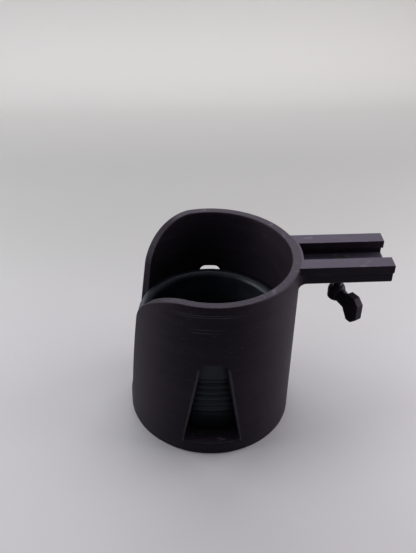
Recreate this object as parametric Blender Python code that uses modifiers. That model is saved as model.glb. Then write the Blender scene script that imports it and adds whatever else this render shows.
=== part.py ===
"""Desk-clamp cup holder: a printed sleeve with a two-rail T-slot arm, a soft ribbed liner and a thumb-lever clamp.

Blender 4.5, metres, +Z up. The origin is the centre of the sleeve's flat underside, and +X runs along the arm.
The sleeve, its floor and the arm are one print. The liner drops into the sleeve. A right-hand screw turns in a
nut held under the arm, and its lever pushes a pad up against the tongue of a desk clamp that slides into the arm.
"""

import math

import bmesh
import bpy
from mathutils import Matrix

# Fits
TOUCH_GAP = 0.0003
LINER_CLEARANCE = 0.0006
NUT_CLEARANCE = 0.0003
SCREW_CLEARANCE = 0.0003
PAD_CLEARANCE = 0.0004

# Sleeve
SLEEVE_RADIUS = 0.048
SLEEVE_WALL = 0.005
SLEEVE_HEIGHT = 0.1072
SLEEVE_SIDES = 120
LINER_SIDES = 72
FLOOR_THICKNESS = 0.008
RIM_ROUNDING = 0.0007
BASE_CHAMFER = 0.0006

# Slot for a mug's handle, opposite the arm: widths are half widths, measured round the outside
HANDLE_SLOT_AZIMUTH = math.radians(-186.0)
HANDLE_SLOT_SILL = 0.0010
HANDLE_SLOT_RADIUS = 0.0145
HANDLE_SLOT_LEAN = math.radians(11.5)
SHOULDER_HEIGHT = 0.026
SHOULDER_END = 0.061
SHOULDER_FULLNESS = 0.62

# Two windows opposite each other, wide at the floor
WINDOW_AZIMUTH = math.radians(-93.0)
WINDOW_FOOT_WIDTH = 0.0170
WINDOW_TOP = 0.0685
WINDOW_LEAN = math.radians(8.8)
WINDOW_CORNER = 0.0040

# Arm: two rails over a floor plate, with lips above the slot
ARM_REACH = 0.0493
TONGUE_SLOT_WIDTH = 0.0154
CAVITY_WIDTH = 0.022
RAIL_WALL = 0.0036
LIP_OVERHANG = 0.0018
LIP_THICKNESS = 0.0046
CAVITY_HEIGHT = 0.005
ARM_FLOOR = 0.0027
LIP_CHAMFER = 0.0018
RAIL_FOOT_CHAMFER = 0.0010
SLOT_END_GAP = 0.0013
ROOT_FILLET = 0.005
UNDER_FILLET = 0.0040

# Clamp screw, nut and pad
SCREW_DIAMETER = 0.005
SCREW_OFFSET = 0.0235
NUT_FLATS = 1.6 * SCREW_DIAMETER
NUT_THICKNESS = 0.8 * SCREW_DIAMETER
TIP_DIAMETER = 0.6 * SCREW_DIAMETER
TIP_LENGTH = 0.0012
BOSS_WALL = 0.0020
BOSS_DEPTH = 0.0050
PAD_DIAMETER = 0.0110
PAD_THICKNESS = 0.0022

# Thumb lever
HUB_DIAMETER = 0.0100
HUB_BELOW_ARM = 0.0110
HUB_HEIGHT = 0.0088
HUB_SHOULDER = 0.0036
HUB_FLOOR = 0.0030
LEVER_AIM = math.radians(30.0)
BAR_WIDTH = 0.0074
BAR_DEPTH = 0.0086
BAR_END_DEPTH = 0.0094
BAR_FALL = math.radians(17.0)
WING_START = 0.0085
WING_REACH = 0.0193
WING_THICKNESS = 0.0052
WING_HEIGHT = 0.0166
WING_DROP = 0.0038
WING_CORNER = 0.0036
WING_ROUNDING = 0.0007

# Liner
LINER_WALL = 0.0022
LINER_STANDOFF = 0.0034
LINER_TAPER = 0.0692
LINER_TOP = 0.0672
LINER_SEAT_DEPTH = 0.0015
LINER_FLARE = 0.0030
RIB_COUNT = 6
RIB_PITCH = 0.0048
GROOVE_DEPTH = 0.0012
TOP_RIB = 0.0472

# Worked out from the sizes above
BORE_RADIUS = SLEEVE_RADIUS - SLEEVE_WALL
CAVITY_HALF = CAVITY_WIDTH / 2
STEM_HALF = CAVITY_HALF + RAIL_WALL
ARM_HALF = STEM_HALF + LIP_OVERHANG
ARM_HEIGHT = LIP_THICKNESS + CAVITY_HEIGHT + ARM_FLOOR
ARM_BOTTOM = SLEEVE_HEIGHT - ARM_HEIGHT
CHANNEL_FLOOR = ARM_BOTTOM + ARM_FLOOR
ARM_END = SLEEVE_RADIUS + ARM_REACH
SCREW_X = SLEEVE_RADIUS + SCREW_OFFSET
SCREW_RADIUS = SCREW_DIAMETER / 2
HEX_CORNERS = 2 / math.sqrt(3)
BOSS_RADIUS = NUT_FLATS * HEX_CORNERS / 2 + BOSS_WALL
BOSS_BOTTOM = ARM_BOTTOM - BOSS_DEPTH
PAD_BOTTOM = CHANNEL_FLOOR + TOUCH_GAP
SCREW_TOP = PAD_BOTTOM - TOUCH_GAP
HUB_TOP = ARM_BOTTOM - HUB_BELOW_ARM
HUB_BOTTOM = HUB_TOP - HUB_HEIGHT
SCREW_FOOT = HUB_BOTTOM + HUB_FLOOR
SEAT_FLOOR = FLOOR_THICKNESS - LINER_SEAT_DEPTH
LINER_BOTTOM = SEAT_FLOOR + TOUCH_GAP

HOLDER = "desk_clamp_cup_holder"
CUTTERS = "cutters"


def clear_scene():
    """Leaves an empty scene with one collection for the parts and one for the cutters."""
    for obj in list(bpy.data.objects):
        bpy.data.objects.remove(obj, do_unlink=True)
    for name in (HOLDER, CUTTERS):
        bpy.context.scene.collection.children.link(bpy.data.collections.new(name))


def material(name, colour, roughness, metallic=0.0):
    """A Principled material in one colour."""
    made = bpy.data.materials.new(name)
    made.use_nodes = True
    shader = made.node_tree.nodes["Principled BSDF"]
    shader.inputs["Base Color"].default_value = (*colour, 1.0)
    shader.inputs["Roughness"].default_value = roughness
    shader.inputs["Metallic"].default_value = metallic
    return made


def place(name, mesh, collection, matrix=None):
    """An object for this mesh, linked to a collection."""
    obj = bpy.data.objects.new(name, mesh)
    bpy.data.collections[collection].objects.link(obj)
    if matrix is not None:
        obj.matrix_world = matrix
    return obj


def as_cutter(obj):
    """Keeps a helper out of the render."""
    obj.hide_render = True
    obj.display_type = "WIRE"
    return obj


def arc(centre, radius, start, end, steps):
    """Points on a circle between two angles in degrees, both ends included."""
    turns = [math.radians(start + (end - start) * i / steps) for i in range(steps + 1)]
    return [(centre[0] + radius * math.cos(a), centre[1] + radius * math.sin(a)) for a in turns]


def shoulder(start, corner, end, steps):
    """A conic arc that leaves start and reaches end along the lines to their corner. Low fullness is rounder."""
    points = []
    for step in range(1, steps + 1):
        t = step / steps
        shares = ((1 - t) ** 2, 2 * SHOULDER_FULLNESS * t * (1 - t), t**2)
        total = sum(shares)
        points.append(
            tuple(sum(s * p[i] for s, p in zip(shares, (start, corner, end))) / total for i in (0, 1))
        )
    return points


def prism(name, outline, depth, matrix, collection=CUTTERS):
    """A flat outline with thickness: a filled 2D curve made a mesh. Depth runs both ways from its plane."""
    curve = bpy.data.curves.new(name, "CURVE")
    curve.dimensions = "2D"
    curve.fill_mode = "BOTH"
    curve.extrude = depth / 2
    spline = curve.splines.new("POLY")
    spline.points.add(len(outline) - 1)
    for point, (x, y) in zip(spline.points, outline):
        point.co = (x, y, 0.0, 1.0)
    spline.use_cyclic_u = True
    drawn = place(name + "_outline", curve, collection)
    bpy.context.view_layer.update()
    graph = bpy.context.evaluated_depsgraph_get()
    mesh = bpy.data.meshes.new_from_object(drawn.evaluated_get(graph))
    bpy.data.objects.remove(drawn, do_unlink=True)
    shape = bmesh.new()
    shape.from_mesh(mesh)
    bmesh.ops.remove_doubles(shape, verts=shape.verts, dist=1e-6)
    bmesh.ops.recalc_face_normals(shape, faces=shape.faces)
    shape.to_mesh(mesh)
    shape.free()
    mesh.name = name
    obj = place(name, mesh, collection, matrix)
    return as_cutter(obj) if collection == CUTTERS else obj


def solid_cylinder(name, radius, bottom, top, x=0.0, sides=48, collection=CUTTERS):
    """An upright cylinder, or a hexagon with six sides, about a vertical axis at x."""
    mesh = bpy.data.meshes.new(name)
    shape = bmesh.new()
    bmesh.ops.create_cone(
        shape, cap_ends=True, segments=sides, radius1=radius, radius2=radius, depth=top - bottom
    )
    shape.to_mesh(mesh)
    shape.free()
    obj = place(name, mesh, collection, Matrix.Translation((x, 0.0, (top + bottom) / 2)))
    return as_cutter(obj) if collection == CUTTERS else obj


def oval_bar(name, start, end, length):
    """A bar along its own Z axis with an oval section, (width, depth) at its start and at its end."""
    mesh = bpy.data.meshes.new(name)
    shape = bmesh.new()
    bmesh.ops.create_cone(shape, cap_ends=True, segments=28, radius1=0.5, radius2=0.5, depth=length)
    for vert in shape.verts:
        width, depth = start if vert.co.z < 0 else end
        vert.co.x *= width
        vert.co.y *= depth
    shape.to_mesh(mesh)
    shape.free()
    return as_cutter(place(name, mesh, CUTTERS))


def turned(name, profile, sides, x=0.0, collection=HOLDER):
    """A profile of (radius, height) pairs, outer side running down, swept round a vertical axis at x."""
    mesh = bpy.data.meshes.new(name)
    shape = bmesh.new()
    points = [shape.verts.new((radius, 0.0, height)) for radius, height in profile]
    for first, second in zip(points, points[1:]):
        shape.edges.new((first, second))
    shape.to_mesh(mesh)
    shape.free()
    obj = place(name, mesh, collection, Matrix.Translation((x, 0.0, 0.0)))
    screw = obj.modifiers.new("turn", "SCREW")
    screw.steps = sides
    screw.render_steps = sides
    screw.use_merge_vertices = True
    screw.merge_threshold = 0.00001
    screw.use_normal_calculate = False
    return as_cutter(obj) if collection == CUTTERS else obj


def boolean(obj, other, operation):
    """Cuts, joins or trims one solid with another."""
    modifier = obj.modifiers.new(f"{operation.lower()}_{other.name}", "BOOLEAN")
    modifier.operation = operation
    modifier.solver = "EXACT"
    modifier.object = other


def bevel(obj, width, segments=1, angle=35.0):
    """Breaks every edge that is sharper than an angle in degrees."""
    modifier = obj.modifiers.new("edges", "BEVEL")
    modifier.width = width
    modifier.segments = segments
    modifier.limit_method = "ANGLE"
    modifier.angle_limit = math.radians(angle)
    modifier.use_clamp_overlap = True


def finish(obj, look):
    """Gives a piece its material and smooth shading between its sharp edges."""
    obj.data.materials.append(look)
    obj.data.shade_smooth()
    obj.data.set_sharp_from_angle(angle=math.radians(35.0))


# Planes that an outline is drawn on
ACROSS = Matrix(((0, 0, 1, 0), (1, 0, 0, 0), (0, 1, 0, 0), (0, 0, 0, 1)))
FACING_FRONT = Matrix.Rotation(math.radians(90.0), 4, "X")
LEVEL = Matrix.Identity(4)


def sleeve_profile():
    """The wall and floor from the middle of the floor, up the bore, over the rim and down the outside."""
    seat_radius = liner_outside(LINER_BOTTOM) + LINER_CLEARANCE
    rim_centre_in = (BORE_RADIUS + RIM_ROUNDING, SLEEVE_HEIGHT - RIM_ROUNDING)
    rim_centre_out = (SLEEVE_RADIUS - RIM_ROUNDING, SLEEVE_HEIGHT - RIM_ROUNDING)
    return [
        (0.0, SEAT_FLOOR),
        (seat_radius, SEAT_FLOOR),
        (seat_radius, FLOOR_THICKNESS),
        (BORE_RADIUS, FLOOR_THICKNESS),
        *arc(rim_centre_in, RIM_ROUNDING, 180.0, 90.0, 3),
        *arc(rim_centre_out, RIM_ROUNDING, 90.0, 0.0, 3),
        (SLEEVE_RADIUS, BASE_CHAMFER),
        (SLEEVE_RADIUS - BASE_CHAMFER, 0.0),
        (0.0, 0.0),
    ]


def liner_outside(height):
    """The liner's outer radius at a height: it widens upwards with the cup that it holds."""
    return BORE_RADIUS - LINER_STANDOFF - LINER_TAPER * (LINER_TOP - height)


def wall_cutter(name, rows, azimuth):
    """A cutter with faces that point at the sleeve's axis, from rows of (half width round the outside, height)."""
    widest = max(width for width, height in rows) / SLEEVE_RADIUS
    columns = max(2, math.ceil(widest / math.radians(4.0)))
    shape = bmesh.new()
    layers = []
    for radius in (BORE_RADIUS - SLEEVE_WALL, SLEEVE_RADIUS + SLEEVE_WALL):
        grid = []
        for width, height in rows:
            turns = [azimuth + width / SLEEVE_RADIUS * c / columns for c in range(-columns, columns + 1)]
            grid.append(
                [shape.verts.new((radius * math.cos(a), radius * math.sin(a), height)) for a in turns]
            )
        layers.append(grid)
    inner, outer = layers
    for low in range(len(rows) - 1):
        for left in range(2 * columns):
            for grid in layers:
                shape.faces.new(
                    (grid[low][left], grid[low][left + 1], grid[low + 1][left + 1], grid[low + 1][left])
                )
        for side in (0, -1):
            shape.faces.new(
                (inner[low][side], outer[low][side], outer[low + 1][side], inner[low + 1][side])
            )
    for row in (0, -1):
        for left in range(2 * columns):
            shape.faces.new(
                (inner[row][left], inner[row][left + 1], outer[row][left + 1], outer[row][left])
            )
    bmesh.ops.recalc_face_normals(shape, faces=shape.faces)
    mesh = bpy.data.meshes.new(name)
    shape.to_mesh(mesh)
    shape.free()
    return as_cutter(place(name, mesh, CUTTERS))


def handle_slot():
    """A slot for a mug's handle: a round foot, leaning sides and wide round shoulders at the rim."""
    lean = math.degrees(HANDLE_SLOT_LEAN)
    centre = (0.0, FLOOR_THICKNESS + HANDLE_SLOT_SILL + HANDLE_SLOT_RADIUS)
    foot = arc(centre, HANDLE_SLOT_RADIUS, -86.0, -lean, 8)
    foot_width, foot_height = foot[-1]
    top = SLEEVE_HEIGHT + TOUCH_GAP
    bend = top - SHOULDER_HEIGHT
    slope = math.tan(HANDLE_SLOT_LEAN)
    start = (foot_width + (bend - foot_height) * slope, bend)
    corner = (foot_width + (top - foot_height) * slope, top)
    rows = [*foot, start, *shoulder(start, corner, (SHOULDER_END, top), 16)]
    rows.append((SHOULDER_END, SLEEVE_HEIGHT + SLEEVE_WALL))
    return wall_cutter("handle_slot", rows, HANDLE_SLOT_AZIMUTH)


def window(name, azimuth):
    """A window that narrows upwards from the floor to two round corners."""
    lean = math.degrees(WINDOW_LEAN)
    head = WINDOW_FOOT_WIDTH - (WINDOW_TOP - FLOOR_THICKNESS) * math.tan(WINDOW_LEAN)
    inset = WINDOW_CORNER * math.tan((math.pi / 2 + WINDOW_LEAN) / 2)
    centre = (head - inset, WINDOW_TOP - WINDOW_CORNER)
    rows = [(WINDOW_FOOT_WIDTH, FLOOR_THICKNESS), *arc(centre, WINDOW_CORNER, lean, 90.0, 6)]
    return wall_cutter(name, rows, azimuth)


def arm_block():
    """The arm's outside: stem, overhanging lips and broken lower edges, from inside the wall to its end."""
    lip_bottom = SLEEVE_HEIGHT - LIP_THICKNESS
    half = [
        (STEM_HALF - RAIL_FOOT_CHAMFER, ARM_BOTTOM),
        (STEM_HALF, ARM_BOTTOM + RAIL_FOOT_CHAMFER),
        (STEM_HALF, lip_bottom - LIP_CHAMFER),
        (ARM_HALF, lip_bottom),
        (ARM_HALF, SLEEVE_HEIGHT),
    ]
    outline = half + [(-y, z) for y, z in reversed(half)]
    start = SLEEVE_RADIUS - 0.75 * SLEEVE_WALL
    middle = Matrix.Translation(((start + ARM_END) / 2, 0.0, 0.0))
    return prism("arm_block", outline, ARM_END - start, middle @ ACROSS)


def tongue_channel():
    """The T-shaped slot along the arm, open on top and at the end, stopping short of the sleeve's wall."""
    lip_bottom = SLEEVE_HEIGHT - LIP_THICKNESS
    slot_half = TONGUE_SLOT_WIDTH / 2
    slope = CAVITY_HALF - slot_half - LIP_CHAMFER
    half = [
        (CAVITY_HALF, CHANNEL_FLOOR),
        (CAVITY_HALF, lip_bottom - LIP_CHAMFER),
        (slot_half + slope, lip_bottom),
        (slot_half, lip_bottom),
        (slot_half, SLEEVE_HEIGHT + LIP_THICKNESS),
    ]
    outline = half + [(-y, z) for y, z in reversed(half)]
    length = ARM_END + SLEEVE_WALL
    channel = prism("tongue_channel", outline, length, Matrix.Translation((length / 2, 0, 0)) @ ACROSS)
    stop = solid_cylinder("channel_stop", SLEEVE_RADIUS + SLOT_END_GAP, 0.0, 2 * SLEEVE_HEIGHT, sides=SLEEVE_SIDES)
    boolean(channel, stop, "DIFFERENCE")
    return channel


def root_fillet(side):
    """The upright fillet between the sleeve's outside and the arm's stem, on one side of the arm."""
    centre_y = STEM_HALF + ROOT_FILLET
    centre_x = math.sqrt((SLEEVE_RADIUS + ROOT_FILLET) ** 2 - centre_y**2)
    towards_sleeve = math.degrees(math.atan2(-centre_y, -centre_x))
    hollow = arc((centre_x, centre_y), ROOT_FILLET, towards_sleeve, -90.0, 8)
    inner_x = SLEEVE_RADIUS - SLEEVE_WALL / 2
    outline = [*hollow, (centre_x, STEM_HALF - RAIL_WALL / 2), (inner_x, STEM_HALF - RAIL_WALL / 2)]
    touch_x, touch_y = hollow[0]
    outline.append((touch_x - SLEEVE_WALL / 2, touch_y - SLEEVE_WALL / 4))
    outline = [(x, side * y) for x, y in outline]
    low = ARM_BOTTOM + RAIL_FOOT_CHAMFER
    height = SLEEVE_HEIGHT - RIM_ROUNDING - low
    lift = Matrix.Translation((0.0, 0.0, low + height / 2))
    return prism(f"root_fillet_{'near' if side < 0 else 'far'}", outline, height, lift @ LEVEL)


def under_fillet():
    """The fillet below the arm: a ring round the sleeve, trimmed to the arm's width."""
    inside = SLEEVE_RADIUS - SLEEVE_WALL / 2
    outer = SLEEVE_RADIUS + UNDER_FILLET
    hollow = arc((outer, ARM_BOTTOM - UNDER_FILLET), UNDER_FILLET, 90.0, 180.0, 6)
    top = ARM_BOTTOM + ARM_FLOOR / 2
    profile = [(inside, top), (outer, top), *hollow, (inside, ARM_BOTTOM - UNDER_FILLET), (inside, top)]
    ring = turned("under_fillet", profile, SLEEVE_SIDES, collection=CUTTERS)
    width = 2 * (STEM_HALF - RAIL_FOOT_CHAMFER)
    keep = prism(
        "fillet_width",
        [(0.0, -width / 2), (ARM_END, -width / 2), (ARM_END, width / 2), (0.0, width / 2)],
        4 * ARM_HEIGHT,
        Matrix.Translation((0.0, 0.0, ARM_BOTTOM)),
    )
    boolean(ring, keep, "INTERSECT")
    return ring


def holder_body(look):
    """Sleeve, floor and arm in one print."""
    body = turned("holder_body", sleeve_profile(), SLEEVE_SIDES)
    arm = arm_block()
    boolean(arm, tongue_channel(), "DIFFERENCE")
    boolean(body, arm, "UNION")
    boolean(body, root_fillet(-1), "UNION")
    boolean(body, root_fillet(1), "UNION")
    boolean(body, under_fillet(), "UNION")
    boss = solid_cylinder("nut_boss", BOSS_RADIUS, BOSS_BOTTOM, ARM_BOTTOM + ARM_FLOOR / 2, SCREW_X)
    boolean(body, boss, "UNION")
    windows = (window("window_front", WINDOW_AZIMUTH), window("window_back", WINDOW_AZIMUTH + math.pi))
    for cutter in (handle_slot(), *windows):
        boolean(body, cutter, "DIFFERENCE")
    pocket_radius = (NUT_FLATS + 2 * NUT_CLEARANCE) * HEX_CORNERS / 2
    pocket_floor = CHANNEL_FLOOR - NUT_THICKNESS - TOUCH_GAP
    pocket = solid_cylinder(
        "nut_pocket", pocket_radius, pocket_floor, CHANNEL_FLOOR + TOUCH_GAP, SCREW_X, sides=6
    )
    hole = solid_cylinder(
        "screw_hole", SCREW_RADIUS + SCREW_CLEARANCE, BOSS_BOTTOM - TOUCH_GAP, CHANNEL_FLOOR, SCREW_X, sides=32
    )
    boolean(body, pocket, "DIFFERENCE")
    boolean(body, hole, "DIFFERENCE")
    finish(body, look)


def cup_liner(look):
    """A soft tapered cup with ribs round its lower half and a flared lip that meets the sleeve's bore."""
    lip_radius = BORE_RADIUS - LINER_CLEARANCE
    flare_foot = LINER_TOP - LINER_WALL - LINER_FLARE
    collar = (liner_outside(flare_foot), flare_foot)
    outer = [
        (lip_radius, LINER_TOP),
        (lip_radius, LINER_TOP - LINER_WALL),
        *shoulder((lip_radius, LINER_TOP - LINER_WALL), (collar[0], LINER_TOP - LINER_WALL), collar, 3),
    ]
    for index in range(RIB_COUNT + 1):
        groove = TOP_RIB + (0.5 - index) * RIB_PITCH
        for offset, depth in ((0.24, 0.0), (0.12, 1.0), (-0.12, 1.0), (-0.24, 0.0)):
            height = groove + offset * RIB_PITCH
            outer.append((liner_outside(height) - depth * GROOVE_DEPTH, height))
    edge = LINER_WALL / 2
    foot = liner_outside(LINER_BOTTOM)
    outer += [(foot, LINER_BOTTOM + edge), (foot - edge, LINER_BOTTOM), (0.0, LINER_BOTTOM)]
    floor = LINER_BOTTOM + LINER_WALL
    throat = (liner_outside(flare_foot) - LINER_WALL, LINER_TOP - LINER_FLARE)
    mouth = (throat[0] + LINER_FLARE, LINER_TOP)
    inner = [
        (0.0, floor),
        (liner_outside(floor) - LINER_WALL - edge, floor),
        (liner_outside(floor + edge) - LINER_WALL, floor + edge),
        throat,
        *shoulder(throat, (throat[0], LINER_TOP), mouth, 3),
    ]
    finish(turned("cup_liner", inner + outer, LINER_SIDES), look)


def captive_nut(look):
    """A hexagon nut lying in its pocket in the channel's floor."""
    bottom = CHANNEL_FLOOR - NUT_THICKNESS
    corner_radius = NUT_FLATS * HEX_CORNERS / 2
    nut = solid_cylinder("captive_nut", corner_radius, bottom, CHANNEL_FLOOR, SCREW_X, 6, HOLDER)
    bore = solid_cylinder(
        "nut_bore", SCREW_RADIUS + SCREW_CLEARANCE, bottom - TOUCH_GAP, CHANNEL_FLOOR + TOUCH_GAP, SCREW_X, 32
    )
    boolean(nut, bore, "DIFFERENCE")
    finish(nut, look)


def clamp_screw(look):
    """A headless screw fixed in the lever's hub, with a thin tip that the pad sits on."""
    tip = TIP_DIAMETER / 2
    top = SCREW_TOP + TIP_LENGTH
    profile = [
        (0.0, top),
        (tip, top),
        (tip, SCREW_TOP),
        (SCREW_RADIUS, SCREW_TOP),
        (SCREW_RADIUS, SCREW_FOOT),
        (0.0, SCREW_FOOT),
    ]
    finish(turned("clamp_screw", profile, 32, SCREW_X), look)


def pressure_pad(look):
    """A round pad with a blind socket for the screw's tip."""
    socket = TIP_DIAMETER / 2 + PAD_CLEARANCE
    depth = TIP_LENGTH + PAD_CLEARANCE
    chamfer = PAD_THICKNESS / 4
    rim = PAD_DIAMETER / 2
    profile = [
        (0.0, PAD_BOTTOM + PAD_THICKNESS),
        (rim - chamfer, PAD_BOTTOM + PAD_THICKNESS),
        (rim, PAD_BOTTOM + PAD_THICKNESS - chamfer),
        (rim, PAD_BOTTOM),
        (socket, PAD_BOTTOM),
        (socket, PAD_BOTTOM + depth),
        (0.0, PAD_BOTTOM + depth),
    ]
    finish(turned("pressure_pad", profile, 48, SCREW_X), look)


def thumb_lever(look):
    """A hub under the arm, an oval bar that falls away from it and an upright wing at the bar's end."""
    axis = place("lever_axis", None, HOLDER, Matrix.Translation((SCREW_X, 0.0, 0.0)))
    axis.rotation_euler = (0.0, 0.0, LEVER_AIM)
    bpy.context.view_layer.update()
    radius = HUB_DIAMETER / 2
    neck = radius - 0.6 * HUB_SHOULDER
    rounding = HUB_HEIGHT / 8
    profile = [
        (0.0, HUB_TOP),
        (neck, HUB_TOP),
        *shoulder((neck, HUB_TOP), (radius, HUB_TOP), (radius, HUB_TOP - HUB_SHOULDER), 4),
        *arc((radius - rounding, HUB_BOTTOM + rounding), rounding, 0.0, -90.0, 3),
        (0.0, HUB_BOTTOM),
    ]
    lever = turned("thumb_lever", profile, 40)
    lever.parent = axis
    lever.matrix_local = Matrix.Identity(4)

    bar_height = HUB_BOTTOM + BAR_DEPTH / 2
    low = bar_height - WING_DROP - WING_HEIGHT / 2
    high = low + WING_HEIGHT
    outline = [
        (WING_START, low + 1.6 * WING_CORNER),
        (WING_START + WING_CORNER, low),
        (WING_REACH - WING_CORNER, low),
        (WING_REACH, low + WING_CORNER),
        (WING_REACH, high - WING_CORNER),
        (WING_REACH - WING_CORNER, high),
        (WING_START + WING_CORNER / 2, high),
        (WING_START, high - WING_CORNER / 2),
    ]
    outwards = Matrix(((0, 0, 1, 0), (-1, 0, 0, 0), (0, 1, 0, 0), (0, 0, 0, 1)))
    wing = prism("wing", outline, WING_THICKNESS, axis.matrix_world @ outwards)
    bevel(wing, WING_ROUNDING, 2)

    length = (WING_START + WING_REACH) / 2
    falling = Matrix.Translation((0.0, 0.0, bar_height)) @ Matrix.Rotation(BAR_FALL, 4, "X")
    run = falling @ Matrix.Translation((0.0, -length / 2, 0.0)) @ FACING_FRONT
    bar = oval_bar("bar", (BAR_WIDTH, BAR_DEPTH), (WING_THICKNESS - TOUCH_GAP, BAR_END_DEPTH), length)
    bar.matrix_world = axis.matrix_world @ run
    hole = solid_cylinder(
        "stud_hole", SCREW_RADIUS + SCREW_CLEARANCE, SCREW_FOOT - TOUCH_GAP, HUB_TOP + TOUCH_GAP, SCREW_X, 32
    )
    boolean(lever, bar, "UNION")
    boolean(lever, wing, "UNION")
    boolean(lever, hole, "DIFFERENCE")
    finish(lever, look)


def main():
    clear_scene()
    filament = material("purple_grey_filament", (0.050, 0.043, 0.057), 0.55)
    rubber = material("blue_black_rubber", (0.016, 0.018, 0.022), 0.62)
    steel = material("black_oxide_steel", (0.06, 0.06, 0.065), 0.38, 1.0)
    nylon = material("black_nylon", (0.018, 0.018, 0.019), 0.5)
    holder_body(filament)
    cup_liner(rubber)
    captive_nut(steel)
    clamp_screw(steel)
    pressure_pad(nylon)
    thumb_lever(filament)


main()
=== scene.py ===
# %% [markdown]
# # A desk clamp cup holder, printed in dark filament
# The imported model is loaded first and never changes. It says where every piece is, so each finer
# piece below is worked out in the same frame, in millimetres, and only becomes metres when it
# goes into a mesh. Its box is read now for the sleeve's radius and height and the arm's end.

import math

import bmesh
import bpy
import numpy as np
from mathutils import Matrix, Vector


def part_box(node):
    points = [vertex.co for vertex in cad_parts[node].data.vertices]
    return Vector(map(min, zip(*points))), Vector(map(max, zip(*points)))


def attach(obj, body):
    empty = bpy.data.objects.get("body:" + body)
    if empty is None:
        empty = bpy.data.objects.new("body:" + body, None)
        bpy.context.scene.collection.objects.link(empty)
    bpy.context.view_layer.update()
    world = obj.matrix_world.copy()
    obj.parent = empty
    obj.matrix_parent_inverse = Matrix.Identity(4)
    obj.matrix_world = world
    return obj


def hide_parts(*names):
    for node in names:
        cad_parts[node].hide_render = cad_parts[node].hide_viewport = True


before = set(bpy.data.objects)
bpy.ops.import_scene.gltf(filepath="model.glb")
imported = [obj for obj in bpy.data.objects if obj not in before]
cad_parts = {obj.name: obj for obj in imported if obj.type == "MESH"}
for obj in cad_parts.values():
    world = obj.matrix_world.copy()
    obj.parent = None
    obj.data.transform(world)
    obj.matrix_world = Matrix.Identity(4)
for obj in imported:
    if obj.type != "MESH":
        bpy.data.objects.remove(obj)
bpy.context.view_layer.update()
MM = 0.001
holder_low, holder_high = (np.array(corner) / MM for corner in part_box("holder_body"))
SLEEVE_RADIUS = -holder_low[1]
SLEEVE_HEIGHT = holder_high[2]
ARM_END = holder_high[0]
print("sleeve radius, height and arm end in mm:", SLEEVE_RADIUS, SLEEVE_HEIGHT, ARM_END)

# %% [markdown]
# ## Grids of points
# Every new surface is a grid: rows and columns of points, with a quad between each four. A shell
# gathers a piece's grids, and flat faces that close their ends. Where two grids meet, their points
# are in the same place, so merging them closes the seam. Edges sharper than an angle stay crisp,
# and the Weighted Normal modifier lets wide faces decide the shading beside a narrow rounded edge.

# %% A shell made of grids
SHARP_ANGLE = math.radians(32.0)


def quads(rows, columns, ring):
    """Corner numbers of a grid's quads, row by row. With ring, the last column joins the first."""
    row = np.arange(rows - 1)[:, None]
    column = np.arange(columns if ring else columns - 1)[None, :]
    beside = (column + 1) % columns
    this_row, next_row = row * columns, (row + 1) * columns
    corners = (this_row + column, this_row + beside, next_row + beside, next_row + column)
    return np.stack(np.broadcast_arrays(*corners), axis=-1).reshape(-1, 4)


class Shell:
    """A piece's surface: grids of points in millimetres, and flat caps on their ends."""

    def __init__(self, name):
        self.name, self.points, self.faces, self.count = name, [], [], 0

    def grid(self, points, ring=True, loop=False):
        """Adds points shaped (rows, columns, 3). With loop, the last row joins the first too."""
        points = np.concatenate([points, points[:1]]) if loop else points
        rows, columns = points.shape[:2]
        self.faces += (self.count + quads(rows, columns, ring)).tolist()
        self.points.append(points.reshape(-1, 3))
        self.count += rows * columns
        return self

    def cap(self, outline):
        """Adds one flat face round an outline of points."""
        self.faces.append(list(range(self.count, self.count + len(outline))))
        self.points.append(outline)
        self.count += len(outline)
        return self

    def tube(self, points):
        """Adds rings of points, with a cap on the first and on the last."""
        return self.grid(points).cap(points[0]).cap(points[-1])

    def build(self):
        """An object with this surface, its seams merged and its faces turned outwards."""
        mesh = bpy.data.meshes.new(self.name)
        mesh.from_pydata(np.concatenate(self.points) * MM, [], self.faces)
        surface = bmesh.new()
        surface.from_mesh(mesh)
        bmesh.ops.remove_doubles(surface, verts=surface.verts, dist=1e-6)
        bmesh.ops.dissolve_degenerate(surface, edges=surface.edges, dist=1e-7)
        bmesh.ops.recalc_face_normals(surface, faces=surface.faces)
        surface.to_mesh(mesh)
        surface.free()
        made = bpy.data.objects.new(self.name, mesh)
        bpy.context.scene.collection.objects.link(made)
        return made


def around(radius, height, turns, centre=(0.0, 0.0)):
    """Points at a radius and height for each turn: (x, y, z) = centre + radius (cos, sin), height."""
    radius, height, turns = np.broadcast_arrays(radius, height, turns)
    return np.stack(
        [centre[0] + radius * np.cos(turns), centre[1] + radius * np.sin(turns), height], axis=-1
    )


def full_circle(sides):
    """Evenly spaced angles round a circle."""
    return np.arange(sides) / sides * 2 * math.pi


def turned(shell, profile, sides, centre=(0.0, 0.0)):
    """Sweeps (radius, height) rows round an upright axis. A profile off the axis is a closed loop."""
    radius, height = np.asarray(profile, float).T
    rings = around(radius[:, None], height[:, None], full_circle(sides)[None, :], centre)
    return shell.grid(rings, loop=bool(radius[0] > 0 and radius[-1] > 0))


def curve(start, corner, end, steps, fullness=0.62):
    """A conic arc that leaves start and reaches end along the lines to corner: with weights
    (1-t)^2, 2 f t (1-t) and t^2, each point is the weighted mean of the three."""
    t = np.linspace(0.0, 1.0, steps + 1)[:, None]
    weights = ((1 - t) ** 2, 2 * fullness * t * (1 - t), t**2)
    points = sum(weight * np.array(point, float) for weight, point in zip(weights, (start, corner, end)))
    return points / sum(weights)


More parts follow.
